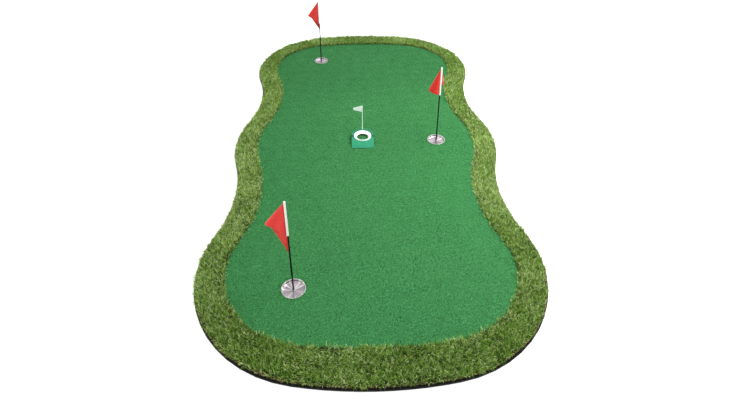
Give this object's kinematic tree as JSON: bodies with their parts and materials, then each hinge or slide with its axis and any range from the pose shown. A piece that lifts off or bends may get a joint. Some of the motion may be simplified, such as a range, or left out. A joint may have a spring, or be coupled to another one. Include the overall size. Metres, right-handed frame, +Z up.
{
  "type": "practice putting mat",
  "caption": "Wavy-edged practice putting green with a long-pile fringe, dish cups, lift-out flagsticks with turning pennants, and a loose ramp cup.",
  "frame": {"origin": "centre of the underside of the foam underlay, on the floor", "axes": "+Z up, +Y along the mat to its far end, +X across it to the player's right"},
  "size_m": [1.524, 3.048, 0.495],
  "materials": {
    "eva_foam": "closed-cell foam with a cut edge",
    "seam_tape": "woven tape",
    "latex_backing": "latex-coated woven backing",
    "fringe_turf": "long curled pile in two greens over tan thatch",
    "green_turf": "dense short curled pile",
    "spun_aluminium": "bright turned face",
    "turned_aluminium": "satin turned",
    "screw_steel": "zinc plated",
    "black_fibreglass": "pultruded rod, semi-gloss",
    "white_tube": "extruded tube",
    "white_cap": "moulded cap",
    "red_polyester": "light woven polyester",
    "teal_plastic": "moulded, satin",
    "white_plastic": "moulded, semi-gloss"
  },
  "bodies": {
    "mat": {"foam_underlay": "eva_foam", "seam_tape": "seam_tape", "fringe_backing": "latex_backing", "green_backing": "latex_backing", "fringe_pile": "fringe_turf", "green_pile": "green_turf"},
    "near_cup": {"near_cup_shell": "spun_aluminium", "near_cup_hub": "turned_aluminium", "near_hub_screw": "screw_steel"},
    "near_stick": {"near_flag_rod": "black_fibreglass"},
    "near_pennant": {"near_flag_sleeve": "white_tube", "near_sleeve_cap": "white_cap", "near_flag": "red_polyester"},
    "right_cup": {"right_cup_shell": "spun_aluminium", "right_cup_hub": "turned_aluminium", "right_hub_screw": "screw_steel"},
    "right_stick": {"right_flag_rod": "black_fibreglass"},
    "right_pennant": {"right_flag_sleeve": "white_tube", "right_sleeve_cap": "white_cap", "right_flag": "red_polyester"},
    "far_cup": {"far_cup_shell": "spun_aluminium", "far_cup_hub": "turned_aluminium", "far_hub_screw": "screw_steel"},
    "far_stick": {"far_flag_rod": "black_fibreglass"},
    "far_pennant": {"far_flag_sleeve": "white_tube", "far_sleeve_cap": "white_cap", "far_flag": "red_polyester"},
    "practice_cup": {"practice_base": "teal_plastic", "practice_ring": "white_plastic"},
    "practice_stick": {"practice_flag": "white_plastic"}
  },
  "joints": [
    {"name": "near_cup_lift", "type": "slide", "parent": "mat", "child": "near_cup", "axis": [0, 0, 1], "range_m": [0, 0.03]},
    {"name": "near_stick_lift", "type": "slide", "parent": "near_cup", "child": "near_stick", "axis": [0, 0, 1], "range_m": [0, 0.04]},
    {"name": "near_pennant_turn", "type": "hinge", "parent": "near_stick", "child": "near_pennant", "pos_m": [-0.33, -1.081, 0.45], "axis": [0, 0, 1], "continuous": true},
    {"name": "right_cup_lift", "type": "slide", "parent": "mat", "child": "right_cup", "axis": [0, 0, 1], "range_m": [0, 0.03]},
    {"name": "right_stick_lift", "type": "slide", "parent": "right_cup", "child": "right_stick", "axis": [0, 0, 1], "range_m": [0, 0.04]},
    {"name": "right_pennant_turn", "type": "hinge", "parent": "right_stick", "child": "right_pennant", "pos_m": [0.417, -0.003, 0.45], "axis": [0, 0, 1], "continuous": true},
    {"name": "far_cup_lift", "type": "slide", "parent": "mat", "child": "far_cup", "axis": [0, 0, 1], "range_m": [0, 0.03]},
    {"name": "far_stick_lift", "type": "slide", "parent": "far_cup", "child": "far_stick", "axis": [0, 0, 1], "range_m": [0, 0.04]},
    {"name": "far_pennant_turn", "type": "hinge", "parent": "far_stick", "child": "far_pennant", "pos_m": [-0.313, 1.074, 0.45], "axis": [0, 0, 1], "continuous": true},
    {"name": "practice_cup_lift", "type": "slide", "parent": "mat", "child": "practice_cup", "axis": [0, 0, 1], "range_m": [0, 0.1]},
    {"name": "practice_stick_lift", "type": "slide", "parent": "practice_cup", "child": "practice_stick", "axis": [0, 0, 1], "range_m": [0, 0.025]}
  ]
}
